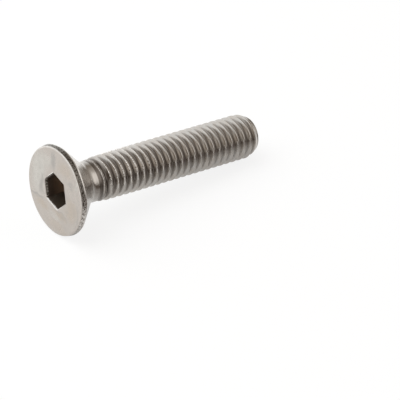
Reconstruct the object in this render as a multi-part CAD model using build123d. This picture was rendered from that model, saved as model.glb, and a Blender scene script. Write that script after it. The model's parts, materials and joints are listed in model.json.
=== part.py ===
from build123d import *

import math
import os

# Countersunk hexagon socket screw, M6 x 1 and nominally 30 long. Millimetres.
#
# The screw is one cold formed piece. It is built upright, with the middle of its flat
# head face at the origin and its shank down the Z axis, and is then laid on its side as
# it comes to rest: on the rear edge of the head's rim and on the shank's last crest.
#
# The threaded length is the plain cylinder over the crests. The neck above it keeps the
# diameter of the wire that the thread is rolled from, which is the pitch diameter.

# Head, whose rim narrows slightly towards the face; the diameter is the one over the
# rounded rear edge of the rim
head_diameter = 11.7
rim_height = 0.7
rim_taper = 12.0
face_edge_radius = 0.12
rim_rear_radius = 0.22
countersink_angle = 90.0
under_head_fillet = 0.5

# Shank, with the length measured from the head face to the end of the point
screw_length = 30.4
neck_length = 0.95
runout_length = 1.25
thread_diameter = 5.88
neck_diameter = 5.3

# Point, a bevel that the rolling has left slightly barrelled
point_length = 1.45
point_diameter = 4.55
point_bulge = 0.08
point_edge_radius = 0.15

# Hexagon socket, with the blunt cone that its punch leaves at the bottom and the steep
# lead-in that draws the key in at the mouth
socket_across_flats = 4.03
socket_depth = 2.5
socket_bottom_angle = 120.0
lead_in_width = 0.09
lead_in_depth = 0.38
socket_turn = 15.3


def tan_half(included_angle):
    """Tangent of half of an included angle in degrees."""
    return math.tan(math.radians(included_angle / 2))


head_radius = head_diameter / 2
neck_radius = neck_diameter / 2
crest_radius = thread_diameter / 2
point_radius = point_diameter / 2
socket_corner_radius = socket_across_flats / 2 / math.cos(math.radians(30))

# Where the rim and the cone would meet in a sharp rear edge, and the middle of the radius
# that rounds it
rim_lean = math.radians(rim_taper)
cone_lean = math.radians(countersink_angle / 2)
spread = 1 + math.cos(rim_lean + cone_lean)
edge_excess = (math.cos(rim_lean) + math.cos(cone_lean)) / spread - 1
edge_radius = head_radius + rim_rear_radius * edge_excess
rear_middle = rim_height - rim_rear_radius * (math.sin(cone_lean) - math.sin(rim_lean)) / spread
face_radius = edge_radius - rim_height * math.tan(rim_lean)

# Depths under the head face
cone_foot = rim_height + (edge_radius - neck_radius) / math.tan(cone_lean)
runout_start = cone_foot + neck_length
thread_start = runout_start + runout_length
thread_end = screw_length - point_length


def below(radius, depth):
    """Point of a turned profile, at a radius and at a depth under the head face."""
    return (radius, -depth)


def turned(profile):
    """Solid of a profile, turned about the screw's axis."""
    return revolve(Plane.XZ * profile, Axis.Z)


def rounded(profile, radius, *corner):
    """The profile with a radius at the corner nearest to a given point."""
    vertex = profile.vertices().sort_by_distance(corner)[0]
    return fillet(vertex, radius)


def blank():
    """Head, neck and shank as one turned body."""
    bevel_top = below(crest_radius, thread_end)
    bevel_end = below(point_radius, screw_length)
    outline = [
        Polyline(
            bevel_end,
            below(0, screw_length),
            below(0, 0),
            below(face_radius, 0),
            below(edge_radius, rim_height),
            below(neck_radius, cone_foot),
            below(neck_radius, runout_start),
            below(crest_radius, thread_start),
            bevel_top,
        ),
        SagittaArc(bevel_top, bevel_end, point_bulge),
    ]
    profile = make_face(outline)
    profile = rounded(profile, face_edge_radius, *below(face_radius, 0))
    profile = rounded(profile, rim_rear_radius, *below(edge_radius, rim_height))
    profile = rounded(profile, under_head_fillet, *below(neck_radius, cone_foot))
    profile = rounded(profile, point_edge_radius, *bevel_end)
    return turned(profile)


def hexagon(across_flats):
    """Outline of the socket, or of its lead-in, on the head face."""
    return RegularPolygon(across_flats / 2, 6, major_radius=False, rotation=socket_turn)


def socket():
    """The space of the socket: six flats, closed by the punch's cone."""
    cone_height = socket_corner_radius / tan_half(socket_bottom_angle)
    apex_depth = socket_depth + cone_height
    flats = extrude(hexagon(socket_across_flats), -apex_depth)
    punch = Polyline(
        below(0, 0),
        below(2 * socket_corner_radius, 0),
        below(2 * socket_corner_radius, socket_depth - cone_height),
        below(0, apex_depth),
        close=True,
    )
    return flats & turned(make_face(punch))


def lead_in():
    """The space of the lead-in: the socket's hexagon, widened towards the head face."""
    mouth = hexagon(socket_across_flats + 2 * lead_in_width)
    taper = math.degrees(math.atan2(lead_in_width, lead_in_depth))
    return extrude(mouth, -lead_in_depth, taper=taper)


def screw():
    """The blank with its socket and the lead-in at the socket's mouth."""
    return blank() - socket() - lead_in()


def resting(upright):
    """The screw laid down, with its axis in the XZ plane and its point towards +X.

    The shank is thinner than the head, so the axis falls towards the point by the lean:
    the floor touches the radius behind the rim and the shank's last crest. The side that
    was towards +X is the one that faces the floor.
    """
    drop = head_radius - rim_rear_radius - crest_radius
    reach = thread_end - rear_middle
    lean = math.atan2(drop, reach) + math.asin(rim_rear_radius / math.hypot(drop, reach))
    floor_side = (-math.sin(lean), 0, -math.cos(lean))
    head_side = (-math.cos(lean), 0, math.sin(lean))
    return Plane(origin=(0, 0, 0), x_dir=floor_side, z_dir=head_side) * upright


def main():
    os.makedirs("parts", exist_ok=True)
    export_step(resting(screw()), "parts/countersunk_socket_screw.step")


main()
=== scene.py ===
import json
import math
from typing import NamedTuple

import bpy
import numpy as np
from bpy.props import FloatProperty, FloatVectorProperty, IntProperty, PointerProperty
from mathutils import Matrix, Vector, noise


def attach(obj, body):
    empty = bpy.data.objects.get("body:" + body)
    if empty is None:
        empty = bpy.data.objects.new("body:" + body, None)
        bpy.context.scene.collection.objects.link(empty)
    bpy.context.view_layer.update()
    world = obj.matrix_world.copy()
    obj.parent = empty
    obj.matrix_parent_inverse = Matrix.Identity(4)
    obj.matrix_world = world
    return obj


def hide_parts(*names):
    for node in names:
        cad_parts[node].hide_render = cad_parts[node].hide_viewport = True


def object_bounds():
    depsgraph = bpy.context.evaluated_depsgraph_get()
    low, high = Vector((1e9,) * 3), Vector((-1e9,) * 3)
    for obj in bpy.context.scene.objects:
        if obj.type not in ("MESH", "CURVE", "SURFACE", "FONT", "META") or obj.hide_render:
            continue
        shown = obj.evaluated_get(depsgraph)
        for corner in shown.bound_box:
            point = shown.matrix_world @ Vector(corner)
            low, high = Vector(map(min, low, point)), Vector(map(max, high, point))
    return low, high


bl_info = {
    "name": "Countersunk Socket Screw",
    "version": (1, 0, 0),
    "blender": (4, 5, 0),
    "location": "View3D > Sidebar > Screw",
    "description": "Builds a rolled-thread countersunk socket screw and a plain stage to show it on",
    "category": "Object",
}

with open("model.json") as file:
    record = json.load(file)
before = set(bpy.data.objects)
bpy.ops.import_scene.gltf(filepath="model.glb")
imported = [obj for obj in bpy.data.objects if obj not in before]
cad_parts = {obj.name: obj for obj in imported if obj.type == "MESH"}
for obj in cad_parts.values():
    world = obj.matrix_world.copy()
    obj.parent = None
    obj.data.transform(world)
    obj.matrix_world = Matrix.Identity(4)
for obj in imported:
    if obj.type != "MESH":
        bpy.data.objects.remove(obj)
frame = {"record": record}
CAD_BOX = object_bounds()

NODE = "countersunk_socket_screw"
MM = 0.001
FULL_TURN = 2 * math.pi
MOUNTS = {mount["name"]: mount for mount in frame["record"]["mounts"]}


def mount_depth(name):
    """How far a mount lies from the head face, in millimetres."""
    return Vector(MOUNTS[name]["pos_m"]).length / MM


# The screw's own frame: AXIS runs from the head face to the point, FLOOR_SIDE and FAR_SIDE
# are square to it, and angles turn about AXIS from FLOOR_SIDE towards FAR_SIDE.
AXIS = Vector(MOUNTS["thread"]["axis"]).normalized()
FAR_SIDE = Vector((0.0, 1.0, 0.0))
FLOOR_SIDE = FAR_SIDE.cross(AXIS).normalized()

# Radius over the crests and depths under the head face, in millimetres
THREAD_RADIUS = MOUNTS["thread"]["dims"]["r_mm"]
THREAD_LENGTH = MOUNTS["thread"]["dims"]["length_mm"]
THREAD_START = mount_depth("thread") - THREAD_LENGTH / 2
THREAD_END = mount_depth("thread") + THREAD_LENGTH / 2
SCREW_LENGTH = mount_depth("tip_face")
SCREW_MIDDLE = AXIS * SCREW_LENGTH * MM / 2


# ---------------------------------------------------------------- sizes and colours


def length(name, description, default):
    """A size in millimetres, which is the unit of camera distances."""
    return FloatProperty(
        name=name,
        description=description,
        default=default,
        min=0.0,
        precision=3,
        subtype="DISTANCE_CAMERA",
    )


def angle(name, description, degrees):
    return FloatProperty(
        name=name, description=description, default=math.radians(degrees), subtype="ANGLE"
    )


def colour(name, description, default):
    return FloatVectorProperty(
        name=name, description=description, default=default, subtype="COLOR", min=0.0, max=1.0
    )


def factor(name, description, default):
    return FloatProperty(
        name=name, description=description, default=default, min=0.0, max=1.0, subtype="FACTOR"
    )


class ScrewSizes(bpy.types.PropertyGroup):
    """Sizes of the screw in millimetres; depths are measured from the head face."""

    head_diameter: length("Head", "Diameter over the rear edge of the rim", 11.7)
    rim_height: length("Rim height", "Height of the rim round the head", 0.7)
    rim_taper: angle("Rim taper", "How much the rim narrows towards the face", 12)
    face_edge: length("Face edge", "Radius between the head face and the rim", 0.12)
    rim_rear: length("Rim rear edge", "Radius between the rim and the cone", 0.22)
    countersink: angle("Countersink", "Angle between the cone and the axis", 45)
    under_head: length("Under head", "Radius between the cone and the neck", 1.4)
    neck_diameter: length("Neck", "Diameter of the smooth neck", 5.3)
    neck_end: length("Neck end", "Depth at which the thread's run-out starts", 4.87)
    root_diameter: length("Root", "Diameter over the roots of the thread", 4.78)
    pitch: length("Pitch", "Distance from one crest to the next", 1.0)
    crest_width: length("Crest", "Width of the flat left on a crest", 0.12)
    thread_clock: length("Thread clock", "Depth at which a crest crosses the floor side", 29.0)
    point_diameter: length("Point", "Diameter of the end face", 4.55)
    point_bulge: length("Point bulge", "How far the bevelled end is barrelled", 0.08)
    point_edge: length("Point edge", "Radius round the end face", 0.15)
    socket_flats: length("Socket", "Width across the flats of the socket", 4.03)
    socket_depth: length("Socket depth", "Depth of the flats at the corners", 2.5)
    socket_bottom: angle("Socket bottom", "Angle between the punch's cone and the axis", 60)
    lead_in_width: length("Lead-in", "How far the mouth of the socket is widened", 0.09)
    lead_in_depth: length("Lead-in depth", "Depth over which the mouth narrows to the flats", 0.38)
    mouth_edge: length("Mouth edge", "Radius that the punch draws in at the socket's mouth", 0.15)
    socket_turn: angle("Socket turn", "Angle of the socket's first corner from the floor side", 44.7)
    columns: IntProperty(
        name="Columns", description="Facets in one turn of the screw", default=144, min=24
    )


class SteelFinish(bpy.types.PropertyGroup):
    """Colours and polish of the stainless steel, with the painted light and shade laid on it."""

    bright: colour("Bright steel", "Burnished stainless steel", (0.65, 0.63, 0.6))
    warm: colour("Warm steel", "Tint of the warmer patches", (0.63, 0.59, 0.545))
    satin: colour("Satin steel", "Tumbled steel of the head face", (0.545, 0.505, 0.465))
    # Face patches: pale is partly a painted reflection, shade is painted shade, brown a warmer tone
    pale: colour("Pale steel", "Where the tumbled face is lightest", (0.60, 0.585, 0.545))
    brown: colour("Brown steel", "Where heading has warmed the face", (0.52, 0.46, 0.395))
    # Shade also tints the face's smudges and mottle
    shade: colour("Shaded steel", "Where the metal has drawn in beside the socket", (0.44, 0.42, 0.395))
    # Torn is also painted shade on the rim's side away from the floor
    torn: colour("Torn steel", "Rough steel of the rim and of the socket's mouth", (0.27, 0.26, 0.24))
    # Painted highlight on edges, crests, specks and the socket's mouth where they catch light
    lip: colour("Lip", "Edges worn bright in tumbling", (0.92, 0.90, 0.87))
    # Painted shade in the thread's grooves; also the coarse streaks on the first turns
    groove: colour("Groove", "Steel in the grooves of the thread", (0.22, 0.195, 0.175))
    dull: colour("Dull steel", "Coarse sheared edge of the head", (0.54, 0.51, 0.475))
    # Painted shade in the socket, lighter and browner deeper down
    stained: colour("Stained steel", "Lubricant baked on in the socket", (0.1, 0.075, 0.06))
    rust: colour("Deep stain", "Lubricant baked on deep in the socket", (0.4, 0.3, 0.22))
    # Darkest painted shade on the socket's lower walls and the rim's top; also dark specks and gaps
    oily: colour("Oily steel", "Wet film on the lower walls of the socket", (0.08, 0.065, 0.05))
    face_polish: factor("Face roughness", "Roughness of the tumbled head face", 0.3)
    shank_polish: factor("Shank roughness", "Roughness of the cone, the neck and the end face", 0.22)
    thread_polish: factor("Thread roughness", "Roughness of the rolled thread", 0.2)
    rim_polish: factor("Rim roughness", "Roughness of the rim round the head", 0.26)
    socket_polish: factor("Socket roughness", "Roughness inside the socket", 0.42)


class StudioSettings(bpy.types.PropertyGroup):
    """Colours of the floor and the room, strength of the lamp and the camera's lens."""

    floor: colour("Floor", "Colour of the floor", (0.9, 0.9, 0.9))
    wall: colour("Wall", "Colour of the window and of the pale wall behind", (0.93, 0.93, 0.925))
    side: colour("Side light", "Colour of the soft warm light at the right", (1.0, 0.95, 0.905))
    room: colour("Room", "Colour of the unlit rest of the room", (0.2, 0.165, 0.13))
    # Front also colours the sheet of painted shade on the floor in front of the screw
    front: colour("Front", "Colour of the dark room in front of the screw", (0.075, 0.055, 0.042))
    key_light: FloatProperty(
        name="Key light", description="Radiance of the lamp, of which 1 is white", default=2.4, min=0.0
    )
    lens: length("Lens", "Focal length of the camera", 217.47)


# ---------------------------------------------------------------- the screw's surface


def place(depths, radii, angles):
    """Points in metres for depths and radii in millimetres and angles about the axis."""
    along = np.asarray(depths)[..., None] * np.array(AXIS)
    floorward = (radii * np.cos(angles))[..., None] * np.array(FLOOR_SIDE)
    farward = (radii * np.sin(angles))[..., None] * np.array(FAR_SIDE)
    return (along + floorward + farward) * MM


def soft_least(first, second, reach):
    """The lesser of two lengths, with the corner between them rounded over a reach."""
    share = np.clip(0.5 + (second - first) / (2 * reach), 0, 1)
    return second * (1 - share) + first * share - reach * share * (1 - share)


def soft_step(values, low, high):
    """0 below low, 1 above high and a smooth rise between them."""
    share = np.clip((values - low) / (high - low), 0, 1)
    return share * share * (3 - 2 * share)


def arc(centre, radius, start, end, count):
    """Points (depth, radius) along an arc; angles are in degrees from the outward side."""
    turns = np.radians(np.linspace(start, end, count))
    return [(centre[0] + radius * math.sin(a), centre[1] + radius * math.cos(a)) for a in turns]


def between(start, end, count):
    """Evenly spaced points (share, depth, radius) on a straight line, after start and up to end."""
    shares = np.linspace(0, 1, count + 1)[1:]
    return [(share, *(np.array(start) + (np.array(end) - start) * share)) for share in shares]


def waver(angles, waves, seed):
    """Smooth noise from about -1 to 1 round a ring, which closes on itself."""
    reach = waves / 2
    heights = [noise.noise((reach * math.cos(a), reach * math.sin(a), seed)) for a in angles]
    return 2 * np.array(heights)


class Skin:
    """A closed skin made of rings, each with one point in every column."""

    def __init__(self, columns, first_angle):
        self.columns = columns
        self.angles = first_angle + np.arange(columns) * FULL_TURN / columns
        self.points = []
        self.faces = []
        self.finishes = []
        self.last = None

    def add_points(self, points):
        """Adds points and gives their numbers."""
        first = sum(len(block) for block in self.points)
        self.points.append(np.asarray(points))
        return first + np.arange(len(points))

    def add_faces(self, rows, finish):
        """Adds faces from rows of point numbers, leaving out what a row repeats."""
        for row in rows:
            face = tuple(dict.fromkeys(int(number) for number in row))
            if len(face) > 2:
                self.faces.append(face)
                self.finishes.append(finish)

    def pole(self, depth):
        """Adds one point on the axis."""
        return self.add_points(place([depth], np.array([0.0]), np.array([0.0])))[0]

    def ring(self, depths, radii, finish):
        """Adds a ring and joins it to the ring, or the pole, before it."""
        depths = np.broadcast_to(np.asarray(depths, float), self.angles.shape)
        radii = np.broadcast_to(np.asarray(radii, float), self.angles.shape)
        ring = self.add_points(place(depths, radii, self.angles))
        self.join(self.last, ring, finish)
        self.last = ring

    def join(self, before, after, finish):
        """Joins two rings, or a pole and a ring, column by column."""
        if np.ndim(before) == 0:
            rows = [(before, b, a) for a, b in zip(after, np.roll(after, -1))]
        elif np.ndim(after) == 0:
            rows = [(a, b, after) for a, b in zip(before, np.roll(before, -1))]
        else:
            rows = zip(before, np.roll(before, -1), np.roll(after, -1), after)
        self.add_faces(rows, finish)


# The finish of each face, in the order in which the body takes its materials
FACE, RIM, SHANK, THREAD, SOCKET = range(5)


# Socket: how blunt its conical bottom is, how crisp its corners are, and where its rings lie,
# as shares of the way from the tip to the walls and from the foot of the walls to the lead-in
TIP_BLUNTNESS = 0.06
CORNER_SHARPNESS = 70
BOTTOM_SHARES = (0.06, 0.14, 0.26, 0.4, 0.55, 0.7, 0.84, 0.94, 0.985)
WALL_SHARES = (0.02, 0.06, 0.2, 0.35, 0.5, 0.65, 0.8, 0.92, 0.98, 1.0)
LEAD_IN_RINGS = 6
MOUTH_RINGS = 7


def socket_outline(skin, sizes, widening=0.0):
    """Radius of the hexagon in every column, with its flats set back by a widening."""
    sides = sizes.socket_turn + math.pi / 6 + np.arange(6) * math.pi / 3
    facing = np.cos(skin.angles[:, None] - sides[None, :]).clip(0)
    flats = sizes.socket_flats + 2 * widening
    return flats / 2 / (facing**CORNER_SHARPNESS).sum(axis=1) ** (1 / CORNER_SHARPNESS)


def mouth_outline(sizes):
    """The radius from the lead-in to the face, as points (depth, widening)."""
    lean = math.atan2(sizes.lead_in_width, sizes.lead_in_depth)
    inset = sizes.mouth_edge * math.tan((math.pi / 2 - lean) / 2)
    centre = (sizes.mouth_edge, sizes.lead_in_width + inset)
    points = []
    for turn in np.linspace(lean, math.pi / 2, MOUTH_RINGS):
        depth = centre[0] - sizes.mouth_edge * math.sin(turn)
        points.append((depth, centre[1] - sizes.mouth_edge * math.cos(turn)))
    return points


def add_socket(skin, sizes):
    """The punched socket: blunt cone, six flats and the lead-in and radius at the mouth."""
    outline = socket_outline(skin, sizes)
    slope = 1 / math.tan(sizes.socket_bottom)
    apex = sizes.socket_depth + outline.max() * slope
    skin.last = skin.pole(apex - TIP_BLUNTNESS)
    for share in BOTTOM_SHARES:
        blunt = TIP_BLUNTNESS * (1 - share) ** 4
        skin.ring(apex - blunt - share * outline * slope, share * outline, SOCKET)
    foot = apex - outline * slope
    for share in WALL_SHARES:
        skin.ring(foot + (sizes.lead_in_depth - foot) * share, outline, SOCKET)
    mouth = mouth_outline(sizes)
    for _, depth, widening in between((sizes.lead_in_depth, 0), mouth[0], LEAD_IN_RINGS):
        skin.ring(depth, socket_outline(skin, sizes, widening), SOCKET)
    for depth, widening in mouth[1:]:
        skin.ring(depth, socket_outline(skin, sizes, widening), FACE)
    return socket_outline(skin, sizes, mouth[-1][1])


# Head: rings along each stretch, and how uneven heading, shearing and tumbling have left it,
# as heights in millimetres, waves round the screw and the seeds of their noise
FACE_RINGS = 21
EDGE_RINGS = 7
RIM_RINGS = 7
CONE_RINGS = 13
HOLLOW_RINGS = 13
NECK_RINGS = 4
FACE_WAVES = 0.012
FACE_WAVE_SCALE = 0.45
FACE_SEED = 1.7
EDGE_WANDER = 0.02
EDGE_WAVES = 9
EDGE_SEED = 3.1
REAR_WANDER = 0.03
REAR_WAVES = 7
REAR_SEED = 8.4
RIM_PITS = 0.012
PIT_WAVES = 60
PIT_SEED = 20
PIT_SEED_STEP = 5


def head_outline(sizes):
    """Rounded corners of the head's section, each as a centre (depth, radius) and a radius."""
    taper = sizes.rim_taper
    cone = sizes.countersink
    rim_radius = sizes.head_diameter / 2
    neck_radius = sizes.neck_diameter / 2
    spread = 1 + math.cos(taper + cone)
    excess = (math.cos(taper) + math.cos(cone)) / spread - 1
    rear_edge = rim_radius + sizes.rim_rear * excess
    rear_depth = sizes.rim_height - sizes.rim_rear * (math.sin(cone) - math.sin(taper)) / spread
    face_radius = rear_edge - sizes.rim_height * math.tan(taper)
    inset = sizes.face_edge * (1 - math.sin(taper)) / math.cos(taper)
    foot = sizes.rim_height + (rear_edge - neck_radius) / math.tan(cone)
    face_edge = ((sizes.face_edge, face_radius - inset), sizes.face_edge)
    rear = ((rear_depth, rim_radius - sizes.rim_rear), sizes.rim_rear)
    hollow_depth = foot + sizes.under_head * math.tan(cone / 2)
    hollow = ((hollow_depth, neck_radius + sizes.under_head), sizes.under_head)
    return face_edge, rear, hollow


def flat_radius(sizes):
    """Radius at which the flat head face turns into its rounded edge."""
    face_edge, _, _ = head_outline(sizes)
    return face_edge[0][1]


def face_waves(radii, angles):
    """The slight unevenness that heading and tumbling leave in the head face."""
    across = FACE_WAVE_SCALE * radii * np.cos(angles)
    up = FACE_WAVE_SCALE * radii * np.sin(angles)
    heights = [noise.noise((a, u, FACE_SEED)) for a, u in zip(across, up)]
    return FACE_WAVES * np.array(heights)


def add_face(skin, sizes, mouth):
    """The flat head face, from the socket's mouth out to its rounded edge."""
    for share in np.linspace(0, 1, FACE_RINGS + 1)[1:]:
        radii = mouth + (flat_radius(sizes) - mouth) * share
        waves = face_waves(radii, skin.angles) * math.sin(math.pi * share)
        skin.ring(waves, radii, FACE)


def add_head(skin, sizes):
    """The face's edge, the tapered rim, the cone and the fillet into the neck."""
    face_edge, rear, hollow = head_outline(sizes)
    taper = math.degrees(sizes.rim_taper)
    cone = math.degrees(sizes.countersink)
    edge_wander = EDGE_WANDER * waver(skin.angles, EDGE_WAVES, EDGE_SEED)
    rear_wander = REAR_WANDER * waver(skin.angles, REAR_WAVES, REAR_SEED)
    edge_points = arc(*face_edge, -90, -taper, EDGE_RINGS)
    rear_points = arc(*rear, -taper, cone, EDGE_RINGS)
    cone_end = arc(*hollow, 180 + cone, 180, HOLLOW_RINGS)
    for depth, radius in edge_points[1:]:
        skin.ring(depth + edge_wander * depth / face_edge[1], radius, FACE)
    for share, depth, radius in between(edge_points[-1], rear_points[0], RIM_RINGS):
        wander = edge_wander * (1 - share) + rear_wander * share
        pits = waver(skin.angles, PIT_WAVES, PIT_SEED + PIT_SEED_STEP * share)
        pits = RIM_PITS * pits * math.sin(math.pi * share)
        skin.ring(depth + wander, radius + np.minimum(pits, 0), RIM)
    for depth, radius in rear_points[1:]:
        skin.ring(depth + rear_wander, radius, SHANK)
    for share, depth, radius in between(rear_points[-1], cone_end[0], CONE_RINGS):
        skin.ring(depth + rear_wander * (1 - share), radius, SHANK)
    for depth, radius in cone_end[1:]:
        skin.ring(depth, radius, SHANK)
    neck_foot = (sizes.neck_end, cone_end[-1][1])
    for _, depth, radius in between(cone_end[-1], neck_foot, NECK_RINGS):
        skin.ring(depth, radius, SHANK)


# Thread, in millimetres: its flanks' angle from a plane square to the axis, the rounding of
# crests and roots, how far the run-out reaches past the neck's end and into the full thread,
# and the seam along the crests, which is deeper and wider where the first turns are unfilled
FLANK_ANGLE = math.radians(30)
CREST_ROUNDING = 0.14
ROOT_ROUNDING = 0.16
RUNOUT_LEAD = 0.1
RUNOUT_REACH = 0.9
UNFILLED_LENGTH = 6.0
SEAM_DEPTH = 0.022
SEAM_DEPTH_UNFILLED = 0.08
SEAM_WIDTH = 0.032
SEAM_WIDTH_UNFILLED = 0.035
SEAM_RAGGEDNESS = 0.014
SEAM_WAVES = 2.1
SEAM_SEED = 5.0
POINT_ROUNDING = 0.05

# Samples of the thread's section on either side of a crest, in pitches, and how near to
# either end of the thread a sample is drawn back to the ring there
CREST_SAMPLES = (0.0, 0.025, 0.05, 0.075, 0.1, 0.13, 0.17, 0.24, 0.32, 0.38, 0.44)
ROOT_SAMPLE = 0.5
END_MARGIN = 0.012


def point_outline(depths, sizes):
    """Radius of the bevelled, slightly barrelled end, and the full thread above it."""
    share = np.clip((depths - THREAD_END) / (SCREW_LENGTH - THREAD_END), 0, 1)
    chord = THREAD_RADIUS + (sizes.point_diameter / 2 - THREAD_RADIUS) * share
    return chord + 4 * sizes.point_bulge * share * (1 - share)


def ridge(offsets, sizes):
    """Radius of the full thread at an offset from the middle of a crest."""
    root = sizes.root_diameter / 2
    flank = THREAD_RADIUS - (np.abs(offsets) - sizes.crest_width / 2) / math.tan(FLANK_ANGLE)
    crest = soft_least(flank, np.full_like(flank, THREAD_RADIUS), CREST_ROUNDING)
    return root - soft_least(root - crest, np.zeros_like(crest), ROOT_ROUNDING)


def thread_radius(depths, angles, offsets, turns, sizes):
    """Radius of the rolled thread, with its run-out, crest seam and bevelled end."""
    full = ridge(offsets, sizes)
    runout = soft_step(depths, sizes.neck_end - RUNOUT_LEAD, THREAD_START + RUNOUT_REACH)
    unfilled = 1 - soft_step(depths, THREAD_START, THREAD_START + UNFILLED_LENGTH)
    along = SEAM_WAVES * (turns * FULL_TURN + angles)
    ragged = np.array([noise.noise((a, 0.0, SEAM_SEED)) for a in along.ravel()])
    ragged = ragged.reshape(along.shape)
    seam_depth = SEAM_DEPTH + SEAM_DEPTH_UNFILLED * unfilled + SEAM_RAGGEDNESS * ragged
    seam_width = SEAM_WIDTH + SEAM_WIDTH_UNFILLED * unfilled
    seam = np.exp(-((offsets / seam_width) ** 2))
    neck_radius = sizes.neck_diameter / 2
    radii = neck_radius + (full - neck_radius) * runout - seam_depth * seam * runout
    return soft_least(radii, point_outline(depths, sizes), POINT_ROUNDING)


def add_thread(skin, sizes):
    """The rolled thread, with its points set along the helix so that crests stay crisp.

    Every column carries the same samples of the thread's section, moved on by the helix.
    Samples past either end are drawn back to a plain ring there.
    """
    start = sizes.neck_end
    end = SCREW_LENGTH - sizes.point_edge
    samples = np.array(sorted(set(CREST_SAMPLES) | {-s for s in CREST_SAMPLES}))
    samples = np.append(samples, ROOT_SAMPLE) * sizes.pitch
    per_turn = len(samples)
    first_turn = math.floor((start - sizes.thread_clock) / sizes.pitch) - 1
    last_turn = math.ceil((end - sizes.thread_clock) / sizes.pitch) + 2
    turns = np.repeat(np.arange(first_turn, last_turn), per_turn)[:, None]
    offsets = np.tile(samples, last_turn - first_turn)[:, None]
    turned = skin.angles[None, :] / FULL_TURN
    depths = sizes.thread_clock + (turns + turned) * sizes.pitch + offsets
    depths, angles, offsets, turns = np.broadcast_arrays(depths, skin.angles, offsets, turns)
    radii = thread_radius(depths, angles, offsets, turns, sizes)

    margin = END_MARGIN * sizes.pitch
    early = depths < start + margin
    late = depths > end - margin
    inside = ~(early | late)
    numbers = np.empty(depths.shape, int)
    numbers[inside] = skin.add_points(place(depths[inside], radii[inside], angles[inside]))
    end_depths = np.full(skin.columns, end)
    end_radii = point_outline(end_depths, sizes)
    end_ring = skin.add_points(place(end_depths, end_radii, skin.angles))
    numbers[early] = np.broadcast_to(skin.last, depths.shape)[early]
    numbers[late] = np.broadcast_to(end_ring, depths.shape)[late]

    following = np.roll(numbers, -1, axis=1)
    following[:-per_turn, -1] = numbers[per_turn:, 0]
    following[-per_turn:, -1] = end_ring[0]
    corners = np.stack([numbers[:-1], following[:-1], following[1:], numbers[1:]], axis=-1)
    skin.add_faces(corners.reshape(-1, 4), THREAD)
    skin.last = end_ring


# Point: angles of the rings round its edge in degrees, rings of the end face as shares of
# its radius, and how far its middle is dished, in millimetres
POINT_EDGE_TURNS = (18, 36, 54, 72, 90)
END_SHARES = (0.93, 0.82, 0.68, 0.52, 0.35, 0.18, 0.06)
END_DISH = 0.03


def add_point(skin, sizes):
    """The rounded edge of the end and the slightly dished end face."""
    edge = sizes.point_edge
    start = point_outline(np.array([SCREW_LENGTH - edge]), sizes)[0]
    for turn in np.radians(POINT_EDGE_TURNS):
        depth = SCREW_LENGTH - edge * (1 - math.sin(turn))
        skin.ring(depth, start - edge * (1 - math.cos(turn)), THREAD)
    for share in END_SHARES:
        dish = END_DISH * (1 - share**2)
        skin.ring(SCREW_LENGTH - dish, (start - edge) * share, SHANK)
    middle = skin.pole(SCREW_LENGTH - END_DISH)
    skin.join(skin.last, middle, SHANK)


def screw_mesh(sizes):
    """The whole screw as one closed mesh, from the bottom of the socket to the point."""
    skin = Skin(sizes.columns, sizes.socket_turn)
    mouth = add_socket(skin, sizes)
    add_face(skin, sizes, mouth)
    add_head(skin, sizes)
    add_thread(skin, sizes)
    add_point(skin, sizes)
    mesh = bpy.data.meshes.new("screw_body")
    points = np.concatenate(skin.points)
    mesh.from_pydata([tuple(p) for p in points], [], skin.faces)
    mesh.polygons.foreach_set("material_index", np.array(skin.finishes, np.int32))
    mesh.polygons.foreach_set("use_smooth", np.ones(len(mesh.polygons), bool))
    if mesh.validate():
        raise RuntimeError("The sizes give the screw a faulty mesh")
    mesh.update()
    return mesh


# ---------------------------------------------------------------- shader expressions


class Value:
    """A shader socket that takes part in arithmetic; every operation adds its node."""

    def __init__(self, shader, socket):
        self.shader = shader
        self.socket = socket

    def math(self, operation, *others):
        return self.shader.node("ShaderNodeMath", {"operation": operation}, self, *others)

    def __add__(self, other):
        return self.math("ADD", other)

    def __sub__(self, other):
        return self.math("SUBTRACT", other)

    def __mul__(self, other):
        return self.math("MULTIPLY", other)

    def __truediv__(self, other):
        return self.math("DIVIDE", other)

    def __neg__(self):
        return self.math("MULTIPLY", -1.0)

    def __radd__(self, other):
        return self.math("ADD", other)

    def __rmul__(self, other):
        return self.math("MULTIPLY", other)

    def __rsub__(self, other):
        return self.shader.node("ShaderNodeMath", {"operation": "SUBTRACT"}, other, self)

    def clamped(self):
        """The value, held between 0 and 1."""
        settings = {"operation": "ADD", "use_clamp": True}
        return self.shader.node("ShaderNodeMath", settings, self, 0.0)

    def rise(self, low, high):
        """0 where the value is under low, 1 over high, smooth between."""
        settings = {"interpolation_type": "SMOOTHSTEP"}
        return self.shader.node("ShaderNodeMapRange", settings, self, low, high, 0.0, 1.0)

    def fall(self, low, high):
        """1 where the value is under low, 0 over high, smooth between."""
        return 1.0 - self.rise(low, high)

    def swing(self, reach):
        """Noise from 0 to 1 as a swing about 0, by half the reach to either side."""
        return (self - 0.5) * reach


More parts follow.
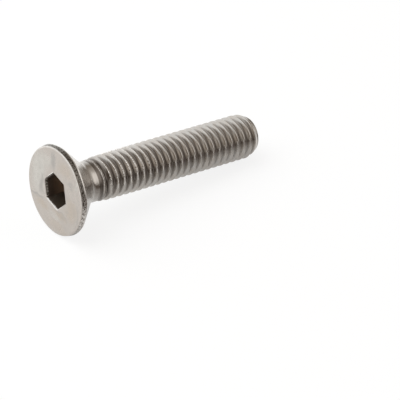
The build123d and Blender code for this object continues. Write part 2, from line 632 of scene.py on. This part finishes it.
class Shader:
    """A node tree and the one way in which its nodes are added."""

    def __init__(self, tree):
        self.tree = tree
        tree.nodes.clear()

    def node(self, kind, settings, *inputs, out=0, **named):
        """Adds a node: settings first, then sockets by their order or by name."""
        node = self.tree.nodes.new(kind)
        for key, value in settings.items():
            setattr(node, key, value)
        pairs = list(zip(node.inputs, inputs))
        pairs += [(node.inputs[key.replace("_", " ")], value) for key, value in named.items()]
        for socket, value in pairs:
            if isinstance(value, Value):
                self.tree.links.new(value.socket, socket)
            elif value is not None:
                socket.default_value = value
        return Value(self, node.outputs[out]) if node.outputs else None

    def dot(self, vector, direction):
        """How far a vector reaches in a direction."""
        settings = {"operation": "DOT_PRODUCT"}
        return self.node("ShaderNodeVectorMath", settings, vector, tuple(direction), out="Value")

    def scaled(self, vector, scale):
        return self.node("ShaderNodeVectorMath", {"operation": "SCALE"}, vector, Scale=scale)

    def vector(self, x, y, z):
        return self.node("ShaderNodeCombineXYZ", {}, x, y, z)

    def noise(self, vector, scale, detail=3.0, roughness=0.5):
        """Soft noise from 0 to 1; the scale counts its marks in one unit of the vector."""
        settings = {"noise_dimensions": "3D"}
        named = {"Vector": vector, "Scale": scale, "Detail": detail, "Roughness": roughness}
        return self.node("ShaderNodeTexNoise", settings, **named)

    def mix(self, share, first, second):
        """A colour between two colours; the node keeps its sockets for colours last."""
        ends = [end if isinstance(end, Value) else (*end, 1.0) for end in (first, second)]
        settings = {"data_type": "RGBA"}
        unused = [None] * 5
        return self.node("ShaderNodeMix", settings, share, *unused, *ends, out=2)


class ScrewPlace:
    """Where a shaded point lies on the screw, in millimetres and radians."""

    def __init__(self, shader):
        metres = shader.node("ShaderNodeTexCoord", {}, out="Object")
        self.point = shader.scaled(metres, 1 / MM)
        self.depth = shader.dot(self.point, AXIS)
        self.floorward = shader.dot(self.point, FLOOR_SIDE)
        self.farward = shader.dot(self.point, FAR_SIDE)
        self.angle = self.farward.math("ARCTAN2", self.floorward)
        self.radius = (self.floorward * self.floorward + self.farward * self.farward).math("SQRT")


# ---------------------------------------------------------------- the screw's finishes


def steel(name, paint, relief):
    """A new steel material, whose relief is the depth of its texture in millimetres.

    What varies over the surface comes from paint: tint, roughness, height and metallic.
    """
    material = bpy.data.materials.new(name)
    material.use_nodes = True
    shader = Shader(material.node_tree)
    tint, roughness, height, metallic = paint(shader, ScrewPlace(shader))
    bump = shader.node("ShaderNodeBump", {}, Strength=1.0, Distance=relief * MM, Height=height)
    named = {"Base_Color": tint, "Metallic": metallic, "Roughness": roughness, "Normal": bump}
    surface = shader.node("ShaderNodeBsdfPrincipled", {}, **named)
    shader.node("ShaderNodeOutputMaterial", {}, surface)
    return material


# In the finishes below, a pair of numbers is where a change starts and where it is complete:
# millimetres on the screw, pitches from a crest, shares of a patch's size or levels of noise.
# A strength is how much of a tint is laid on. A number named ACROSS, ALONG, AROUND or UP says
# how closely a noise is packed that way.

# Head face: patches, partly of painted light and shade, smudges, mottle drawn aslant,
# and painted highlights along its edge and at the socket's mouth
PATCH_FADE = (0.4, 1.3)
PATCH_SWAY = 1.6
SMUDGES = (0.5, 0.75)
SMUDGE_STRENGTH = 0.4
MOTTLE = (0.45, 0.7)
MOTTLE_ACROSS = 5.0
MOTTLE_UP = 3.0
MOTTLE_SLANT = 1.5
MOTTLE_STRENGTH = 0.3
HIGHLIGHT_EDGE = (-0.12, 0.02)
HIGHLIGHT_SIDE = (1.0, 4.0)
HIGHLIGHT_SKEW = 0.3
HIGHLIGHT_STRETCHES = (0.35, 0.6)
HIGHLIGHT_STRENGTH = 0.7
MOUTH_HIGHLIGHT_DEPTH = (0.002, 0.02)
MOUTH_HIGHLIGHT_RADIUS = (2.6, 2.8)
MOUTH_HIGHLIGHT_SIDES = (1.25, 1.6)


class Patch(NamedTuple):
    """A soft patch on the head face, partly its own tone and partly painted light and shade,
    with lengths in millimetres.

    Its middle lies across, away from FAR_SIDE, and up from the axis.
    """

    tint: str
    across: float
    up: float
    half_width: float
    half_height: float
    strength: float


FACE_TONES_AND_PAINTED_LIGHT = (
    Patch("pale", -3.6, 1.0, 1.7, 3.3, 0.95),
    Patch("pale", -1.9, 3.4, 1.0, 1.0, 0.6),
    Patch("brown", 1.7, 3.7, 1.5, 1.1, 0.65),
    Patch("brown", -2.4, -3.0, 1.5, 0.7, 0.8),
    Patch("shade", 1.6, -2.75, 1.35, 0.42, 1.0),
    Patch("brown", 1.3, -2.9, 1.6, 0.45, 0.8),
    Patch("brown", 0.9, -4.6, 2.3, 0.9, 0.5),
    Patch("pale", 0.3, -3.4, 1.3, 0.4, 0.4),
    Patch("shade", -0.8, 3.9, 0.6, 1.4, 1.0),
    Patch("shade", -2.85, -0.3, 0.5, 1.3, 0.95),
    Patch("shade", -3.7, -2.25, 1.5, 0.28, 0.9),
    Patch("shade", 3.4, 2.3, 0.5, 0.7, 0.7),
    Patch("shade", 4.9, -1.3, 0.25, 1.9, 0.6),
    Patch("pale", 4.4, 2.7, 0.35, 0.9, 0.6),
    Patch("brown", 3.6, -1.0, 1.3, 1.8, 0.75),
)


def face_steel(finish, sizes):
    """Tumbled head face: satin, in soft pale, brown and dark patches, partly painted light
    and shade, with painted highlights along its edge and at the socket's mouth.
    """
    edge = flat_radius(sizes)

    def paint(shader, where):
        smudges = shader.noise(where.point, scale=1.3, detail=4.0, roughness=0.6)
        grain = shader.noise(where.point, scale=22.0, detail=3.0, roughness=0.6)
        sway = shader.noise(where.point, scale=0.7, detail=2.0)
        swirl = shader.noise(where.point, scale=0.9, detail=2.0, roughness=0.4)
        across = -where.farward + sway.swing(PATCH_SWAY)
        up = -where.floorward + swirl.swing(PATCH_SWAY)

        tint = finish.satin
        # The patches are partly the face's own tone and partly painted light and shade
        for patch in FACE_TONES_AND_PAINTED_LIGHT:
            aside = (across - patch.across) / patch.half_width
            above = (up - patch.up) / patch.half_height
            spread = (aside * aside + above * above).math("SQRT")
            shown = spread.fall(*PATCH_FADE) * patch.strength
            tint = shader.mix(shown, tint, getattr(finish, patch.tint))
        tint = shader.mix(smudges.rise(*SMUDGES) * SMUDGE_STRENGTH, tint, finish.shade)
        slanted = up * MOTTLE_UP - across * MOTTLE_SLANT
        drawn = shader.vector(across * MOTTLE_ACROSS, slanted, 0.0)
        mottle = shader.noise(drawn, scale=1.0, detail=3.0, roughness=0.65)
        tint = shader.mix(mottle.rise(*MOTTLE) * MOTTLE_STRENGTH, tint, finish.shade)

        # Painted highlight along the face's edge, away from the floor, in broken stretches
        painted_edge_highlight = where.radius.rise(edge + HIGHLIGHT_EDGE[0], edge + HIGHLIGHT_EDGE[1])
        painted_edge_highlight = painted_edge_highlight * (across * HIGHLIGHT_SKEW + up).rise(*HIGHLIGHT_SIDE)
        painted_edge_highlight = painted_edge_highlight * (0.5 + 0.5 * smudges.rise(*HIGHLIGHT_STRETCHES))
        tint = shader.mix(painted_edge_highlight * HIGHLIGHT_STRENGTH, tint, finish.lip)
        # Painted highlight at the socket's mouth, on the flats nearest and furthest from the floor
        mouth = where.depth.rise(*MOUTH_HIGHLIGHT_DEPTH) * where.radius.fall(*MOUTH_HIGHLIGHT_RADIUS)
        mouth = mouth * where.floorward.math("ABSOLUTE").rise(*MOUTH_HIGHLIGHT_SIDES)
        tint = shader.mix(mouth, tint, finish.lip)

        roughness = finish.face_polish + smudges.swing(0.22) + grain.swing(0.12)
        roughness = roughness - painted_edge_highlight * 0.14 - mouth * 0.12
        hammered = shader.noise(where.point, scale=5.0, detail=2.0)
        return tint, roughness, grain * 0.5 + hammered * 1.6, 1.0

    return steel("head_face_steel", paint, relief=0.006)


# Rim: its sides towards and away from the floor, the latter in painted shade, and its specks,
# of which the bright ones are painted glints
RIM_SHADE_ABOVE = (0.5, 3.0)
RIM_SHADE_TOP = (4.2, 5.4)
RIM_LOWER = (1.6, 4.0)
GLINT_SPECKS = (0.5, 0.6)
DARK_SPECKS = (0.38, 0.5)
FINE_SPECKS = (0.42, 0.56)
SHADE_ABOVE_STRENGTH = 0.8
SHADE_TOP_STRENGTH = 0.4
FINE_STRENGTH = 0.7


def rim_steel(finish):
    """Sheared rim: coarse, pitted and darker than the rest, in painted shade away from the floor,
    with painted glints among its specks, and finer on its lower side.
    """

    def paint(shader, where):
        pits = shader.noise(where.point, scale=4.2, detail=3.0, roughness=0.65)
        specks = shader.noise(where.point, scale=4.6, detail=2.0, roughness=0.6)
        fine = shader.noise(where.point, scale=11.0, detail=2.0, roughness=0.6)
        painted_shade_above = (-where.floorward).rise(*RIM_SHADE_ABOVE)
        top = (-where.floorward).rise(*RIM_SHADE_TOP)
        lower = where.floorward.rise(*RIM_LOWER)

        # Painted shade: darker on the side away from the floor, darkest on its top
        tint = shader.mix(painted_shade_above * SHADE_ABOVE_STRENGTH, finish.dull, finish.torn)
        tint = shader.mix(top * SHADE_TOP_STRENGTH, tint, finish.oily)
        # Bright specks are painted glints, fewer away from the floor and on the lower side
        bright = specks.rise(*GLINT_SPECKS) * (0.6 - 0.35 * painted_shade_above - 0.2 * lower - 0.1 * top)
        tint = shader.mix(bright, tint, finish.lip)
        dark = specks.fall(*DARK_SPECKS) * (0.9 - 0.85 * lower)
        tint = shader.mix(dark, tint, finish.oily)
        tint = shader.mix(fine.fall(*FINE_SPECKS) * lower * FINE_STRENGTH, tint, finish.torn)

        roughness = finish.rim_polish + pits.swing(0.25)
        height = (pits + specks * 0.6) * (1.0 - lower * 0.75) + fine * lower * 0.2
        return tint, roughness, height, 1.0

    return steel("rim_steel", paint, relief=0.035)


# Shank and thread: clouds of warmer tint, and a painted highlight along the rim's rear edge
CLOUDS = (0.35, 0.65)
RINGS_ALONG = 9.0
RINGS_AROUND = 0.7
REAR_HIGHLIGHT_RADIUS = (5.68, 5.76)
REAR_HIGHLIGHT_DEPTH = (1.1, 1.3)


def shank_steel(finish):
    """Cone, neck and end face: smooth, with fine marks round the axis."""

    def paint(shader, where):
        turned = where.angle * RINGS_AROUND
        around = shader.vector(where.depth * RINGS_ALONG, where.radius * RINGS_ALONG, turned)
        rings = shader.noise(around, scale=1.0, detail=3.0, roughness=0.6)
        clouds = shader.noise(where.point, scale=0.9, detail=3.0)
        grain = shader.noise(where.point, scale=26.0, detail=2.0)

        tint = shader.mix(0.5 + 0.5 * clouds.rise(*CLOUDS), finish.warm, finish.bright)
        # Painted highlight all round the rim's rear edge
        painted_edge_highlight = where.radius.rise(*REAR_HIGHLIGHT_RADIUS) * where.depth.fall(*REAR_HIGHLIGHT_DEPTH)
        tint = shader.mix(painted_edge_highlight, tint, finish.lip)

        roughness = finish.shank_polish + clouds.swing(0.16) + grain.swing(0.08)
        return tint, roughness, rings + grain * 0.3, 1.0

    return steel("shank_steel", paint, relief=0.008)


# Thread: painted shade in the grooves, less towards the point, fine streaks along the helix,
# coarse ones on the rough first turns, and dotted painted glints beside the first crests
GROOVE_SHADE = (0.2, 0.34)
GROOVE_SHADE_STRENGTH = 0.9
GROOVE_SHADE_FADE = (10.0, 28.0)
GROOVE_SHADE_LOSS = 0.35
STREAKS_ACROSS = 30.0
STREAKS_ALONG = THREAD_RADIUS * 0.35
ROUGH_TURNS = (THREAD_START - 0.6, THREAD_START + 1.4)
COARSE_STREAKS = (0.4, 0.6)
COARSE_ACROSS = 9.0
COARSE_ALONG = 1.5
COARSE_SEED = 3.0
COARSE_STRENGTH = 0.85
GLINT_TURNS = (THREAD_START + 4.0, THREAD_START + 9.0)
GLINT_OFFSET = 0.1
GLINT_WIDTH = (0.015, 0.05)
GLINT_DOTS = (0.39, 0.53)
DOTS_ALONG = 12.0
GLINT_LOWER = (-0.3, 0.8)
GLINT_UPPER = (2.2, 2.8)
GLINT_UPPER_LOSS = 0.6


def thread_steel(finish, sizes):
    """Rolled thread: burnished, with fine streaks, painted shade in its grooves
    and broken painted glints along the helix.
    """

    def paint(shader, where):
        helix = (where.depth - sizes.thread_clock) / sizes.pitch - where.angle / FULL_TURN
        turn = helix.math("ROUND")
        offset = helix - turn
        along = (where.angle + turn * FULL_TURN) * STREAKS_ALONG
        lines = shader.vector(offset * STREAKS_ACROSS, along, 0.0)
        streaks = shader.noise(lines, scale=1.0, detail=3.0, roughness=0.6)
        clouds = shader.noise(where.point, scale=1.1, detail=3.0)
        grain = shader.noise(where.point, scale=24.0, detail=2.0)

        tint = shader.mix(clouds.rise(*CLOUDS), finish.warm, finish.bright)
        # Painted shade in the grooves, less of it towards the point
        groove = offset.math("ABSOLUTE").rise(*GROOVE_SHADE)
        shade_lost_towards_point = GROOVE_SHADE_LOSS * where.depth.rise(*GROOVE_SHADE_FADE)
        tint = shader.mix(groove * (GROOVE_SHADE_STRENGTH - shade_lost_towards_point), tint, finish.groove)
        early = where.depth.fall(*ROUGH_TURNS)
        broad = shader.vector(offset * COARSE_ACROSS, along * COARSE_ALONG, COARSE_SEED)
        coarse = shader.noise(broad, scale=1.0, detail=2.0, roughness=0.6)
        rough = early * coarse.rise(*COARSE_STREAKS) * COARSE_STRENGTH
        tint = shader.mix(rough, tint, finish.groove)

        # Painted glints: dotted, beside the first crests, gone on the floor side and weaker at the top
        crest_glints = (offset + GLINT_OFFSET).math("ABSOLUTE").fall(*GLINT_WIDTH)
        dotted = shader.vector(along * DOTS_ALONG, turn, 0.0)
        dots = shader.noise(dotted, scale=1.0, detail=1.0)
        crest_glints = crest_glints * where.depth.fall(*GLINT_TURNS) * dots.rise(*GLINT_DOTS)
        crest_glints = crest_glints * (-where.floorward).rise(*GLINT_LOWER)
        crest_glints = crest_glints * (1.0 - (-where.floorward).rise(*GLINT_UPPER) * GLINT_UPPER_LOSS)
        tint = shader.mix(crest_glints, tint, finish.lip)

        roughness = finish.thread_polish + streaks.swing(0.12) + groove * 0.08
        roughness = roughness + early * 0.06 + crest_glints * 0.3
        height = streaks + grain * 0.25 + coarse * early * 5.0
        return tint, roughness, height, 1.0 - crest_glints * 0.9

    return steel("thread_steel", paint, relief=0.003)


# Socket: its lower walls, the torn strip inside the mouth with its gaps, painted shade by depth,
# lighter patches and how metallic it is
LOWER_WALLS = (1.45, 1.65)
MARKS_AROUND = 14.0
MARKS_ALONG = 0.8
TORN_FADE = (-0.04, 0.04)
TORN_GAPS = (0.46, 0.54)
TORN_GAP_STRENGTH = 0.9
TORN_RAGGEDNESS = 0.4
TORN_LESS_BELOW = 0.24
DEEP_SHADE_FADE = (0.8, 2.8)
FILM = (0.5, 0.8)
FILM_STRENGTH = 0.2
SOCKET_METALLIC = 0.55


def socket_steel(finish, sizes):
    """Socket: drawn marks from the punch under painted shade, darkest on the lower walls,
    with a torn strip in the mouth that is a painted highlight on those walls.
    """

    def paint(shader, where):
        aside = where.floorward * MARKS_AROUND
        beyond = where.farward * MARKS_AROUND
        down = shader.vector(aside, beyond, where.depth * MARKS_ALONG)
        marks = shader.noise(down, scale=1.0, detail=3.0, roughness=0.6)
        film = shader.noise(where.point, scale=1.6, detail=3.0)
        torn = shader.noise(where.point, scale=4.0, detail=3.0, roughness=0.6)
        lower = where.floorward.rise(*LOWER_WALLS)
        limit = sizes.lead_in_depth - lower * TORN_LESS_BELOW + torn.swing(TORN_RAGGEDNESS)
        strip = (where.depth - limit).fall(*TORN_FADE)

        # Painted shade in the socket, lighter and browner deeper down, darkest on the lower walls
        socket_shade_by_depth = shader.mix(where.depth.rise(*DEEP_SHADE_FADE), finish.stained, finish.rust)
        tint = shader.mix(lower, socket_shade_by_depth, finish.oily)
        tint = shader.mix(film.rise(*FILM) * FILM_STRENGTH, tint, finish.torn)
        # Torn strip: dull grey with gaps on the other walls, a painted highlight on the lower walls
        edge = shader.mix(lower, finish.dull, finish.lip)
        gaps = torn.rise(*TORN_GAPS) * (1.0 - lower) * TORN_GAP_STRENGTH
        edge = shader.mix(gaps, edge, finish.oily)
        tint = shader.mix(strip, tint, edge)

        roughness = finish.socket_polish + marks.swing(0.25) + strip * 0.08
        return tint, roughness, marks, SOCKET_METALLIC

    return steel("socket_steel", paint, relief=0.02)


class SCREW_OT_body(bpy.types.Operator):
    """Builds the screw as one closed mesh and gives each surface its finish"""

    bl_idname = "screw.body"
    bl_label = "Build Screw"

    def execute(self, context):
        sizes = context.scene.screw_sizes
        finish = context.scene.steel_finish
        body = bpy.data.objects.new("screw_body", screw_mesh(sizes))
        context.scene.collection.objects.link(body)
        for material in (
            face_steel(finish, sizes),
            rim_steel(finish),
            shank_steel(finish),
            thread_steel(finish, sizes),
            socket_steel(finish, sizes),
        ):
            body.data.materials.append(material)
        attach(body, "root")
        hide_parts(NODE)
        return {"FINISHED"}


# ---------------------------------------------------------------- stage, lamp and camera

# Directions are (azimuth, elevation) in degrees as seen from the screw, with azimuths
# turning from +Y towards +X. A fade is where a light starts and where it is full, as the
# cosine of the angle from its middle. A top is where a light starts to go and where it has
# gone, as the sine of the elevation. Lengths are in metres, but the sensor is in millimetres.
CAMERA_PLACE = Vector((-0.136952, -0.208553, 0.162704))
CAMERA_TURN = math.radians(37.396)
CAMERA_DIP = math.radians(33.383)
SENSOR = 36.0
CLIP_START = 0.01
CLIP_END = 20.0

FLOOR_HALF = 4.0
FLOOR_SEEN = 0.85
FLOOR_REFLECTED = 0.4

CARD_AZIMUTH = 180
CARD_LIFT = 0.0003
CARD_REACH = 0.3
CARD_HALF_WIDTH = 0.3
CARD_NEAR = (0.0, 0.008)
CARD_DEEP = (0.005, 0.025)
CARD_ALONG = (0.001, 0.007)
CARD_BESIDE_HEAD = 0.25
CARD_MORE_BESIDE_SHANK = 0.42
CARD_MORE_FURTHER_OUT = 0.38

LAMP_START = (-50, 28)
LAMP_END = (-50, 88)
LAMP_DISTANCE = 0.7
LAMP_WIDTH = 0.7

KEY_MIDDLE = (-60, 50)
KEY_FADE = (0.6, 1.02)
WINDOW_AZIMUTH = -20
WINDOW_FADE = (0.26, 0.71)
WINDOW_TOP = (0.62, 0.82)
WALL_AZIMUTH = 0
WALL_FADE = (0.34, 0.77)
WALL_TOP = (0.12, 0.36)
FRONT_MIDDLE = (165, 5)
FRONT_FADE = (0.25, 1.0)
SIDE_START = (100, 51)
SIDE_END = (143, 0)
SIDE_HALF_WIDTH = 25
SIDE_EDGE = (0.6, 1.2)
SIDE_GLOW_FADE = (0.4, 1.0)
SIDE_GLOW = 0.46
SIDE_FACING = (0.0, 0.2)


def direction(azimuth, elevation):
    """Unit vector; azimuth turns from +Y towards +X, both in degrees."""
    a = math.radians(azimuth)
    e = math.radians(elevation)
    return Vector((math.sin(a) * math.cos(e), math.cos(a) * math.cos(e), math.sin(e)))


def add_sheet(name, corners):
    """A flat sheet on the stage and the shader of its new material."""
    mesh = bpy.data.meshes.new(name)
    mesh.from_pydata(corners, [], [(0, 1, 2, 3)])
    sheet = bpy.data.objects.new(name, mesh)
    bpy.context.scene.collection.objects.link(sheet)
    material = bpy.data.materials.new(name)
    material.use_nodes = True
    mesh.materials.append(material)
    return sheet, Shader(material.node_tree)


def add_floor(settings):
    """A wide pale floor that shows white, but keeps the shadow of the screw."""
    half = FLOOR_HALF
    low = CAD_BOX[0][2]
    corners = [(-half, -half, low), (half, -half, low), (half, half, low), (-half, half, low)]
    floor, shader = add_sheet("floor", corners)
    camera, glossy, transmission = [
        shader.node("ShaderNodeLightPath", {}, out=ray)
        for ray in ("Is Camera Ray", "Is Glossy Ray", "Is Transmission Ray")
    ]
    seen = camera * FLOOR_SEEN + (glossy + transmission).clamped() * FLOOR_REFLECTED
    matt = shader.node("ShaderNodeBsdfDiffuse", {}, Color=(*settings.floor, 1.0))
    white = shader.node("ShaderNodeEmission", {}, Color=(1.0, 1.0, 1.0, 1.0), Strength=1.0)
    surface = shader.node("ShaderNodeMixShader", {}, seen, matt, white)
    shader.node("ShaderNodeOutputMaterial", {}, surface)


def add_front_shade_sheet(settings):
    """A dark sheet on the floor in front: painted shade that shows only in the steel's reflections.

    It fades in away from the screw, and less so beside the head than along the shank.
    """
    ahead = direction(CARD_AZIMUTH, 0)
    across = direction(CARD_AZIMUTH + 90, 0)
    low = CAD_BOX[0][2] + CARD_LIFT
    corners = []
    for reach, side in ((0.0, -1), (CARD_REACH, -1), (CARD_REACH, 1), (0.0, 1)):
        corner = SCREW_MIDDLE + ahead * reach + across * side * CARD_HALF_WIDTH
        corners.append((corner.x, corner.y, low))
    card, shader = add_sheet("card", corners)
    metres = shader.node("ShaderNodeTexCoord", {}, out="Object")
    reach = shader.dot(metres, ahead) - SCREW_MIDDLE.dot(ahead)
    along = shader.dot(metres, (1.0, 0.0, 0.0)).rise(*CARD_ALONG)
    near = reach.rise(*CARD_NEAR) * (CARD_BESIDE_HEAD + CARD_MORE_BESIDE_SHANK * along)
    shown = near + reach.rise(*CARD_DEEP) * CARD_MORE_FURTHER_OUT
    clear = shader.node("ShaderNodeBsdfTransparent", {})
    dark = shader.node("ShaderNodeBsdfDiffuse", {}, Color=(*settings.front, 1.0))
    surface = shader.node("ShaderNodeMixShader", {}, shown, clear, dark)
    shader.node("ShaderNodeOutputMaterial", {}, surface)
    card.visible_camera = False
    card.visible_diffuse = False
    card.visible_shadow = False


def add_key_lamp(settings):
    """A soft lamp above the window side, which lights the room but isn't mirrored."""
    first = direction(*LAMP_START) * LAMP_DISTANCE
    last = direction(*LAMP_END) * LAMP_DISTANCE
    middle = (first + last) / 2
    along = (last - first).normalized()
    away = middle.normalized()
    turn = Matrix((along, away.cross(along), away)).transposed()
    light = bpy.data.lights.new("key_lamp", "AREA")
    light.shape = "RECTANGLE"
    light.size = (last - first).length
    light.size_y = LAMP_WIDTH
    light.energy = settings.key_light * math.pi * light.size * light.size_y
    lamp = bpy.data.objects.new("key_lamp", light)
    lamp.location = middle + SCREW_MIDDLE
    lamp.rotation_euler = turn.to_euler()
    lamp.visible_camera = False
    lamp.visible_glossy = False
    bpy.context.scene.collection.objects.link(lamp)


def soft_strip(shader, towards, start, end, half_width):
    """1 inside a soft-edged strip of the room between two directions, with a glow round it."""
    middle = (direction(*start) + direction(*end)).normalized()
    along = (direction(*end) - direction(*start)).normalized()
    aside = middle.cross(along)
    half_length = direction(*start).angle(direction(*end)) / 2
    lengthways = shader.dot(towards, along) / math.sin(half_length)
    sideways = shader.dot(towards, aside) / math.sin(math.radians(half_width))
    spread = (lengthways * lengthways + sideways * sideways).math("SQRT")
    facing = shader.dot(towards, middle)
    glow = facing.rise(*SIDE_GLOW_FADE) * SIDE_GLOW
    return spread.fall(*SIDE_EDGE).math("MAXIMUM", glow) * facing.rise(*SIDE_FACING)


def add_room(settings):
    """The room above the floor: a window, a low pale wall, a side light, and dim elsewhere."""
    world = bpy.data.worlds.new("room")
    world.use_nodes = True
    bpy.context.scene.world = world
    shader = Shader(world.node_tree)
    towards = shader.node("ShaderNodeTexCoord", {}, out="Generated")
    height = shader.dot(towards, (0.0, 0.0, 1.0))
    level = (1.0 - height * height).math("SQRT")

    def panel(azimuth, fade, top):
        """1 on an upright panel of the room round an azimuth, 0 beside it and over its top."""
        facing = shader.dot(towards, direction(azimuth, 0)) / level
        return facing.rise(*fade) * height.fall(*top)

    window = panel(WINDOW_AZIMUTH, WINDOW_FADE, WINDOW_TOP)
    wall = panel(WALL_AZIMUTH, WALL_FADE, WALL_TOP)
    key = shader.dot(towards, direction(*KEY_MIDDLE)).rise(*KEY_FADE)
    front = shader.dot(towards, direction(*FRONT_MIDDLE)).rise(*FRONT_FADE)
    side = soft_strip(shader, towards, SIDE_START, SIDE_END, SIDE_HALF_WIDTH)
    lit = window.math("MAXIMUM", wall).math("MAXIMUM", key)
    unlit = shader.mix(front, settings.room, settings.front)
    painted = shader.mix(side, shader.mix(lit, unlit, settings.wall), settings.side)
    light = shader.node("ShaderNodeBackground", {}, Color=painted, Strength=1.0)
    shader.node("ShaderNodeOutputWorld", {}, light)


def add_camera(settings):
    """The camera, turned from +Y towards +X and tipped down."""
    lens = bpy.data.cameras.new("camera")
    lens.lens = settings.lens
    lens.sensor_width = SENSOR
    lens.sensor_fit = "HORIZONTAL"
    lens.clip_start = CLIP_START
    lens.clip_end = CLIP_END
    camera = bpy.data.objects.new("camera", lens)
    camera.location = CAMERA_PLACE
    camera.rotation_euler = (math.pi / 2 - CAMERA_DIP, 0.0, -CAMERA_TURN)
    bpy.context.scene.collection.objects.link(camera)
    bpy.context.scene.camera = camera


class SCREW_OT_stage(bpy.types.Operator):
    """Adds the floor, the room, the lamp, the sheet of painted shade and the camera"""

    bl_idname = "screw.stage"
    bl_label = "Set Stage"

    def execute(self, context):
        settings = context.scene.studio_settings
        add_floor(settings)
        add_room(settings)
        add_key_lamp(settings)
        add_front_shade_sheet(settings)
        add_camera(settings)
        context.scene.view_settings.view_transform = "Standard"
        return {"FINISHED"}


# ---------------------------------------------------------------- panel and registration

GROUPS = {
    "screw_sizes": ScrewSizes,
    "steel_finish": SteelFinish,
    "studio_settings": StudioSettings,
}


class SCREW_PT_panel(bpy.types.Panel):
    """Sizes, finishes and the buttons that build the screw and its stage"""

    bl_idname = "SCREW_PT_panel"
    bl_label = "Countersunk Screw"
    bl_space_type = "VIEW_3D"
    bl_region_type = "UI"
    bl_category = "Screw"

    def draw(self, context):
        layout = self.layout
        for name, group in GROUPS.items():
            box = layout.box()
            for setting in group.__annotations__:
                box.prop(getattr(context.scene, name), setting)
        layout.operator("screw.body")
        layout.operator("screw.stage")


CLASSES = (*GROUPS.values(), SCREW_OT_body, SCREW_OT_stage, SCREW_PT_panel)


def register():
    for cls in CLASSES:
        bpy.utils.register_class(cls)
    for name, group in GROUPS.items():
        setattr(bpy.types.Scene, name, PointerProperty(type=group))


def unregister():
    for name in GROUPS:
        delattr(bpy.types.Scene, name)
    for cls in reversed(CLASSES):
        bpy.utils.unregister_class(cls)


def main():
    register()
    bpy.ops.screw.body()
    bpy.ops.screw.stage()


if __name__ == "__main__":
    main()
